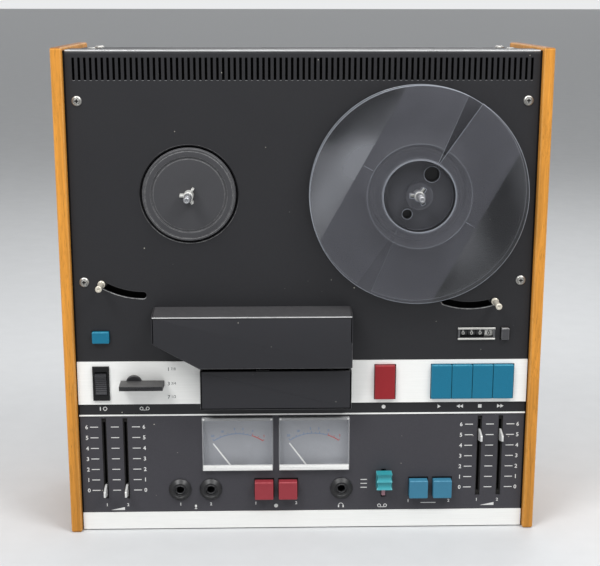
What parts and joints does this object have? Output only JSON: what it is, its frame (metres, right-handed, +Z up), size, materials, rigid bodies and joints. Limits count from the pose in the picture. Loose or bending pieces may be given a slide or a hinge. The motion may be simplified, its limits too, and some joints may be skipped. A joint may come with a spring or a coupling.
{
  "type": "reel-to-reel tape recorder",
  "caption": "Upright open-reel tape recorder with wooden sides, reel drives, a covered head block, transport keys, level faders and level meters.",
  "frame": {"origin": "on the floor below the middle of the bounding box", "axes": "+Z up, +Y to the back, +X to the right seen from the front"},
  "size_m": [0.4, 0.166, 0.411],
  "materials": {
    "oiled_wood": "oiled",
    "deck_paint": "matte",
    "chassis_steel": "satin",
    "satin_trim": "satin",
    "bright_steel": "polished",
    "drive_metal": "satin",
    "motor_steel": "satin",
    "pulley_brass": "satin",
    "black_rubber": "matte",
    "cover_plastic": "matte",
    "black_plastic": "gloss",
    "table_plastic": "satin",
    "knob_plastic": "satin",
    "record_red": "satin",
    "button_red": "satin",
    "key_teal": "satin",
    "button_blue": "satin",
    "lever_green": "satin",
    "clear_styrene": "clear",
    "clear_lens": "clear",
    "meter_grey": "matte",
    "drum_black": "matte",
    "drum_white": "matte",
    "needle_white": "matte",
    "board_green": "satin"
  },
  "bodies": {
    "root": {"left_side_panel": "oiled_wood", "right_side_panel": "oiled_wood", "chassis_frame": "chassis_steel", "rear_cover": "chassis_steel", "deck_plate": "deck_paint", "control_panel": "deck_paint", "trim_strips": "satin_trim", "case_screws": "bright_steel", "transport_plate": "drive_metal", "head_plate": "drive_metal", "tape_heads": "drive_metal", "reel_motors": "motor_steel", "capstan_motor": "motor_steel", "drive_belt": "black_rubber", "lower_cover": "cover_plastic", "meter_cases": "meter_grey", "meter_lenses": "clear_lens", "jack_sockets": "black_plastic", "counter_frame": "drive_metal", "fader_tracks": "black_plastic", "switch_blocks": "black_plastic", "mains_transformer": "motor_steel", "circuit_boards": "board_green", "rear_sockets": "black_plastic"},
    "left_reel": {"left_reel_table": "table_plastic", "left_spindle": "bright_steel"},
    "right_reel": {"right_reel_table": "table_plastic", "right_spindle": "bright_steel"},
    "reel": {"tape_reel": "clear_styrene"},
    "capstan": {"capstan_flywheel": "bright_steel"},
    "pulley": {"motor_pulley": "pulley_brass"},
    "pinch_arm": {"pinch_arm": "motor_steel"},
    "pinch_roller": {"pinch_roller": "black_rubber"},
    "left_arm": {"left_tension_arm": "bright_steel"},
    "right_arm": {"right_tension_arm": "bright_steel"},
    "record_key": {"record_key": "record_red"},
    "play_key": {"play_key": "key_teal"},
    "rewind_key": {"rewind_key": "key_teal"},
    "stop_key": {"stop_key": "key_teal"},
    "wind_key": {"wind_key": "key_teal"},
    "left_record_button": {"left_record_button": "button_red"},
    "right_record_button": {"right_record_button": "button_red"},
    "source_button": {"source_button": "button_blue"},
    "tape_button": {"tape_button": "button_blue"},
    "edit_button": {"edit_button": "key_teal"},
    "counter_reset": {"counter_reset": "black_plastic"},
    "power_rocker": {"power_rocker": "black_plastic"},
    "speed_knob": {"speed_knob": "knob_plastic"},
    "left_input_fader": {"left_input_fader": "bright_steel"},
    "right_input_fader": {"right_input_fader": "bright_steel"},
    "left_output_fader": {"left_output_fader": "bright_steel"},
    "right_output_fader": {"right_output_fader": "bright_steel"},
    "sound_lever": {"sound_lever": "lever_green"},
    "unit_drum": {"unit_drum": "drum_white"},
    "ten_drum": {"ten_drum": "drum_black"},
    "hundred_drum": {"hundred_drum": "drum_black"},
    "thousand_drum": {"thousand_drum": "drum_black"},
    "left_needle": {"left_needle": "needle_white"},
    "right_needle": {"right_needle": "needle_white"},
    "head_cover": {"head_cover": "cover_plastic"}
  },
  "joints": [
    {"name": "left_reel_spin", "type": "hinge", "parent": "root", "child": "left_reel", "pos_m": [-0.0932, -0.051, 0.2935], "axis": [0, -1, 0], "continuous": true},
    {"name": "right_reel_spin", "type": "hinge", "parent": "root", "child": "right_reel", "pos_m": [0.0932, -0.051, 0.2935], "axis": [0, -1, 0], "continuous": true},
    {"name": "reel_lift", "type": "slide", "parent": "right_reel", "child": "reel", "axis": [0, -1, 0], "range_m": [0, 0.042]},
    {"name": "capstan_spin", "type": "hinge", "parent": "root", "child": "capstan", "pos_m": [0.022, -0.051, 0.1522], "axis": [0, -1, 0], "continuous": true},
    {"name": "motor_pulley_spin", "type": "hinge", "parent": "root", "child": "pulley", "pos_m": [-0.07, -0.021, 0.1522], "axis": [0, -1, 0], "continuous": true},
    {"name": "pinch_arm_swing", "type": "hinge", "parent": "root", "child": "pinch_arm", "pos_m": [-0.01, -0.051, 0.1285], "axis": [0, -1, 0], "range_deg": [0, 7], "stiffness_Nm_per_rad": 0.05, "springref_deg": -17.19},
    {"name": "pinch_roller_spin", "type": "hinge", "parent": "pinch_arm", "child": "pinch_roller", "pos_m": [0.022, -0.059, 0.1345], "axis": [0, -1, 0], "continuous": true},
    {"name": "left_tension_swing", "type": "hinge", "parent": "root", "child": "left_arm", "pos_m": [-0.1324, -0.043, 0.2752], "axis": [0, -1, 0], "range_deg": [0, 31], "stiffness_Nm_per_rad": 0.02, "springref_deg": -28.65},
    {"name": "right_tension_swing", "type": "hinge", "parent": "root", "child": "right_arm", "pos_m": [0.1393, -0.043, 0.2652], "axis": [0, 1, 0], "range_deg": [0, 37], "stiffness_Nm_per_rad": 0.02, "springref_deg": -28.65},
    {"name": "record_key_press", "type": "slide", "parent": "root", "child": "record_key", "axis": [0, 1, 0], "range_m": [0, 0.003], "stiffness_N_per_m": 300},
    {"name": "play_key_press", "type": "slide", "parent": "root", "child": "play_key", "axis": [0, 1, 0], "range_m": [0, 0.003], "stiffness_N_per_m": 300},
    {"name": "rewind_key_press", "type": "slide", "parent": "root", "child": "rewind_key", "axis": [0, 1, 0], "range_m": [0, 0.003], "stiffness_N_per_m": 300},
    {"name": "stop_key_press", "type": "slide", "parent": "root", "child": "stop_key", "axis": [0, 1, 0], "range_m": [0, 0.003], "stiffness_N_per_m": 300},
    {"name": "wind_key_press", "type": "slide", "parent": "root", "child": "wind_key", "axis": [0, 1, 0], "range_m": [0, 0.003], "stiffness_N_per_m": 300},
    {"name": "left_record_button_press", "type": "slide", "parent": "root", "child": "left_record_button", "axis": [0, 1, 0], "range_m": [0, 0.003], "stiffness_N_per_m": 300},
    {"name": "right_record_button_press", "type": "slide", "parent": "root", "child": "right_record_button", "axis": [0, 1, 0], "range_m": [0, 0.003], "stiffness_N_per_m": 300},
    {"name": "source_button_press", "type": "slide", "parent": "root", "child": "source_button", "axis": [0, 1, 0], "range_m": [0, 0.003], "stiffness_N_per_m": 300},
    {"name": "tape_button_press", "type": "slide", "parent": "root", "child": "tape_button", "axis": [0, 1, 0], "range_m": [0, 0.003], "stiffness_N_per_m": 300},
    {"name": "edit_button_press", "type": "slide", "parent": "root", "child": "edit_button", "axis": [0, 1, 0], "range_m": [0, 0.003], "stiffness_N_per_m": 300},
    {"name": "counter_reset_press", "type": "slide", "parent": "root", "child": "counter_reset", "axis": [0, 1, 0], "range_m": [0, 0.003], "stiffness_N_per_m": 300},
    {"name": "power_rocker_tilt", "type": "hinge", "parent": "root", "child": "power_rocker", "pos_m": [-0.1702, -0.051, 0.13325], "axis": [1, 0, 0], "range_deg": [-16, 0]},
    {"name": "speed_knob_turn", "type": "hinge", "parent": "root", "child": "speed_knob", "pos_m": [-0.1425, -0.051, 0.13385], "axis": [0, 1, 0], "range_deg": [-20, 20]},
    {"name": "left_input_fader_slide", "type": "slide", "parent": "root", "child": "left_input_fader", "axis": [0, 0, 1], "range_m": [0, 0.0576]},
    {"name": "right_input_fader_slide", "type": "slide", "parent": "root", "child": "right_input_fader", "axis": [0, 0, 1], "range_m": [0, 0.0576]},
    {"name": "left_output_fader_slide", "type": "slide", "parent": "root", "child": "left_output_fader", "axis": [0, 0, 1], "range_m": [-0.048, 0.0096]},
    {"name": "right_output_fader_slide", "type": "slide", "parent": "root", "child": "right_output_fader", "axis": [0, 0, 1], "range_m": [-0.048, 0.0096]},
    {"name": "sound_lever_slide", "type": "slide", "parent": "root", "child": "sound_lever", "axis": [0, 0, 1], "range_m": [0, 0.007]},
    {"name": "unit_drum_spin", "type": "hinge", "parent": "root", "child": "unit_drum", "pos_m": [0.1566, -0.0434, 0.1747], "axis": [1, 0, 0], "continuous": true},
    {"name": "ten_drum_spin", "type": "hinge", "parent": "root", "child": "ten_drum", "pos_m": [0.1494, -0.0434, 0.1747], "axis": [1, 0, 0], "continuous": true},
    {"name": "hundred_drum_spin", "type": "hinge", "parent": "root", "child": "hundred_drum", "pos_m": [0.1422, -0.0434, 0.1747], "axis": [1, 0, 0], "continuous": true},
    {"name": "thousand_drum_spin", "type": "hinge", "parent": "root", "child": "thousand_drum", "pos_m": [0.135, -0.0434, 0.1747], "axis": [1, 0, 0], "continuous": true},
    {"name": "left_needle_swing", "type": "hinge", "parent": "root", "child": "left_needle", "pos_m": [-0.05605, -0.042, 0.047], "axis": [0, 1, 0], "range_deg": [0, 72], "stiffness_Nm_per_rad": 0.00002, "springref_deg": -17.19},
    {"name": "right_needle_swing", "type": "hinge", "parent": "root", "child": "right_needle", "pos_m": [0.00945, -0.042, 0.047], "axis": [0, 1, 0], "range_deg": [0, 72], "stiffness_Nm_per_rad": 0.00002, "springref_deg": -17.19},
    {"name": "head_cover_lift", "type": "slide", "parent": "root", "child": "head_cover", "axis": [0, -1, 0], "range_m": [0, 0.06]}
  ],
  "couplings": [
    {"joint": "motor_pulley_spin", "follows": "capstan_spin", "ratio": 4.6667},
    {"joint": "unit_drum_spin", "follows": "right_reel_spin", "ratio": 0.1},
    {"joint": "ten_drum_spin", "follows": "right_reel_spin", "ratio": 0.01},
    {"joint": "hundred_drum_spin", "follows": "right_reel_spin", "ratio": 0.001},
    {"joint": "thousand_drum_spin", "follows": "right_reel_spin", "ratio": 0.0001}
  ]
}
